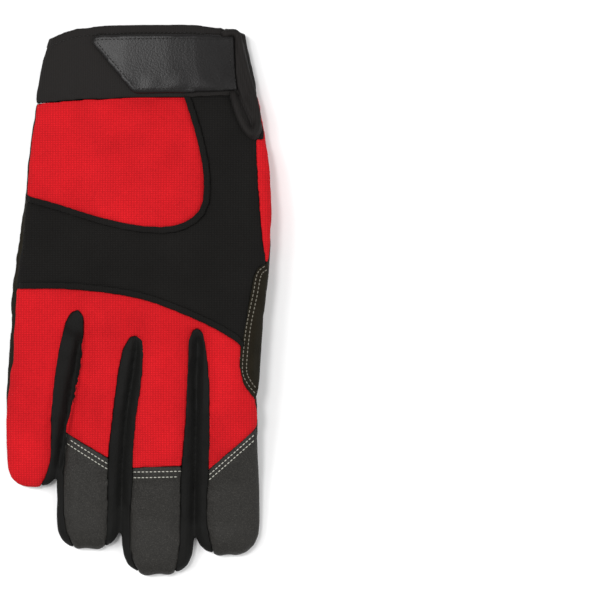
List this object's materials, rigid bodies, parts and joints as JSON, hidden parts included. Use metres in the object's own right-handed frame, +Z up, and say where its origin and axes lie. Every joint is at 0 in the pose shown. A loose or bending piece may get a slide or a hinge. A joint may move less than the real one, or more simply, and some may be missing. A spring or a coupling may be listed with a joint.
{
  "type": "mechanic glove",
  "caption": "Right-hand work glove lying palm down: knit back, suede palm with grip pads, leather fingertips, neoprene cuff with a wrist tab.",
  "frame": {"origin": "centre of the glove's box, on the surface that it lies on", "axes": "+Y from the fingertips to the wrist, +X to the thumb side, +Z up from the palm through the back of the hand"},
  "size_m": [0.1184, 0.2448, 0.0315],
  "materials": {
    "cuff_neoprene": "matte",
    "strap_leather": "satin",
    "red_knit": "matte",
    "black_knit": "matte",
    "side_spandex": "matte",
    "tip_leather": "matte",
    "palm_suede": "matte",
    "pad_grip": "satin"
  },
  "bodies": {
    "root": {"cuff_band": "cuff_neoprene", "cuff_hem": "cuff_neoprene", "slit_binding": "cuff_neoprene", "wrist_strap": "strap_leather", "back_panel_upper": "red_knit", "back_panel_lower": "red_knit", "thumb_back_panel": "red_knit", "knuckle_band": "black_knit", "upper_piping": "black_knit", "lower_piping": "black_knit", "side_strip_little_ring": "side_spandex", "side_strip_ring_middle": "side_spandex", "side_strip_middle_index": "side_spandex", "fingertip_ring": "tip_leather", "fingertip_middle": "tip_leather", "fingertip_index": "tip_leather", "thumb_saddle": "tip_leather", "thumb_front_panel": "palm_suede", "palm_panel": "palm_suede", "palm_pad": "pad_grip", "heel_pad_inner": "pad_grip", "heel_pad_middle": "pad_grip", "heel_pad_outer": "pad_grip"}
  },
  "joints": []
}
